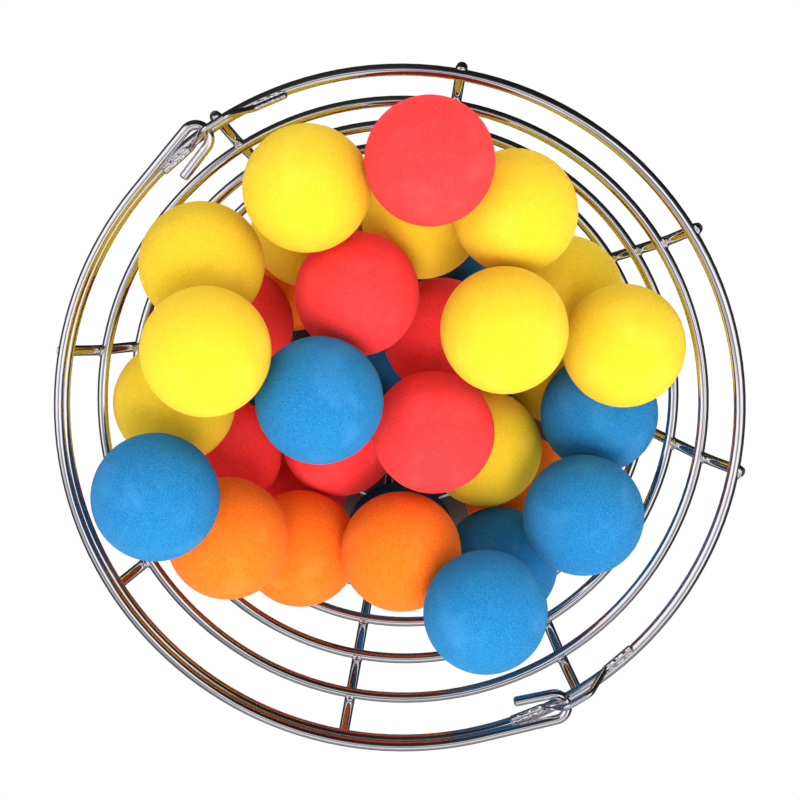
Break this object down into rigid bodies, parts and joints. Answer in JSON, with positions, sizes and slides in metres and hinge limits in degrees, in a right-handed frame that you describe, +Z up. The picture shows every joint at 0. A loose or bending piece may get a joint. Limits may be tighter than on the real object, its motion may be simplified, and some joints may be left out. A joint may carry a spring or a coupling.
{
  "type": "open bingo cage",
  "caption": "Open chrome wire cage bowl with a swing handle hooked to eyes on its rim, holding a heap of loose foam balls to draw from.",
  "frame": {"origin": "centre of the bowl on the plane it stands on", "axes": "+Z is up. The handle hinges about a line along X just above the rim, and is folded down towards +Y at rest."},
  "size_m": [0.229, 0.227, 0.1594],
  "materials": {
    "chrome": "polished chrome plate on round steel wire",
    "foam_yellow": "fine-grained matte foam, yellow",
    "foam_red": "fine-grained matte foam, red",
    "foam_blue": "fine-grained matte foam, blue",
    "foam_orange": "fine-grained matte foam, orange"
  },
  "bodies": {
    "cage": {"rim_ring": "chrome", "wall_ring_1": "chrome", "wall_ring_2": "chrome", "wall_ring_3": "chrome", "wall_ring_4": "chrome", "floor_ring": "chrome", "centre_ring": "chrome", "eye_left": "chrome", "eye_right": "chrome", "rib_1": "chrome", "rib_2": "chrome", "rib_3": "chrome", "rib_4": "chrome", "rib_5": "chrome", "rib_6": "chrome", "rib_7": "chrome", "rib_8": "chrome"},
    "handle": {"handle": "chrome"},
    "lower_balls": {"ball_blue_1": "foam_blue", "ball_blue_2": "foam_blue", "ball_orange_1": "foam_orange", "ball_yellow_1": "foam_yellow", "ball_blue_3": "foam_blue", "ball_red_1": "foam_red", "ball_orange_2": "foam_orange", "ball_blue_4": "foam_blue", "ball_red_2": "foam_red"},
    "middle_balls": {"ball_red_3": "foam_red", "ball_red_4": "foam_red", "ball_yellow_2": "foam_yellow", "ball_red_5": "foam_red", "ball_red_6": "foam_red", "ball_yellow_3": "foam_yellow", "ball_blue_5": "foam_blue", "ball_orange_3": "foam_orange", "ball_blue_6": "foam_blue", "ball_yellow_4": "foam_yellow", "ball_yellow_5": "foam_yellow", "ball_red_7": "foam_red", "ball_red_8": "foam_red", "ball_yellow_6": "foam_yellow", "ball_yellow_7": "foam_yellow", "ball_yellow_8": "foam_yellow"},
    "ball_orange_4": {"ball_orange_4": "foam_orange"},
    "ball_orange_5": {"ball_orange_5": "foam_orange"},
    "ball_yellow_9": {"ball_yellow_9": "foam_yellow"},
    "ball_blue_7": {"ball_blue_7": "foam_blue"},
    "ball_yellow_10": {"ball_yellow_10": "foam_yellow"},
    "ball_yellow_11": {"ball_yellow_11": "foam_yellow"},
    "ball_yellow_12": {"ball_yellow_12": "foam_yellow"},
    "ball_red_9": {"ball_red_9": "foam_red"},
    "ball_blue_8": {"ball_blue_8": "foam_blue"},
    "ball_blue_9": {"ball_blue_9": "foam_blue"},
    "ball_blue_10": {"ball_blue_10": "foam_blue"}
  },
  "joints": [
    {"name": "handle_swing", "type": "hinge", "parent": "cage", "child": "handle", "pos_m": [0, 0, 0.11865], "axis": [1, 0, 0], "range_deg": [0, 180]},
    {"name": "lower_balls_lift", "type": "slide", "parent": "cage", "child": "lower_balls", "axis": [0, 0, 1], "range_m": [0, 0.12]},
    {"name": "middle_balls_lift", "type": "slide", "parent": "lower_balls", "child": "middle_balls", "axis": [0, 0, 1], "range_m": [0, 0.09]},
    {"name": "ball_orange_4_lift", "type": "slide", "parent": "middle_balls", "child": "ball_orange_4", "axis": [0, 0, 1], "range_m": [0, 0.06]},
    {"name": "ball_orange_5_lift", "type": "slide", "parent": "middle_balls", "child": "ball_orange_5", "axis": [0, 0, 1], "range_m": [0, 0.06]},
    {"name": "ball_yellow_9_lift", "type": "slide", "parent": "middle_balls", "child": "ball_yellow_9", "axis": [0, 0, 1], "range_m": [0, 0.06]},
    {"name": "ball_blue_7_lift", "type": "slide", "parent": "middle_balls", "child": "ball_blue_7", "axis": [0, 0, 1], "range_m": [0, 0.06]},
    {"name": "ball_yellow_10_lift", "type": "slide", "parent": "ball_blue_7", "child": "ball_yellow_10", "axis": [0, 0, 1], "range_m": [0, 0.06]},
    {"name": "ball_yellow_11_lift", "type": "slide", "parent": "ball_yellow_9", "child": "ball_yellow_11", "axis": [0, 0, 1], "range_m": [0, 0.06]},
    {"name": "ball_yellow_12_lift", "type": "slide", "parent": "middle_balls", "child": "ball_yellow_12", "axis": [0, 0, 1], "range_m": [0, 0.06]},
    {"name": "ball_red_9_lift", "type": "slide", "parent": "ball_yellow_12", "child": "ball_red_9", "axis": [0, 0, 1], "range_m": [0, 0.06]},
    {"name": "ball_blue_8_lift", "type": "slide", "parent": "ball_orange_5", "child": "ball_blue_8", "axis": [0, 0, 1], "range_m": [0, 0.06]},
    {"name": "ball_blue_9_lift", "type": "slide", "parent": "middle_balls", "child": "ball_blue_9", "axis": [0, 0, 1], "range_m": [0, 0.06]},
    {"name": "ball_blue_10_lift", "type": "slide", "parent": "ball_orange_4", "child": "ball_blue_10", "axis": [0, 0, 1], "range_m": [0, 0.06]}
  ]
}
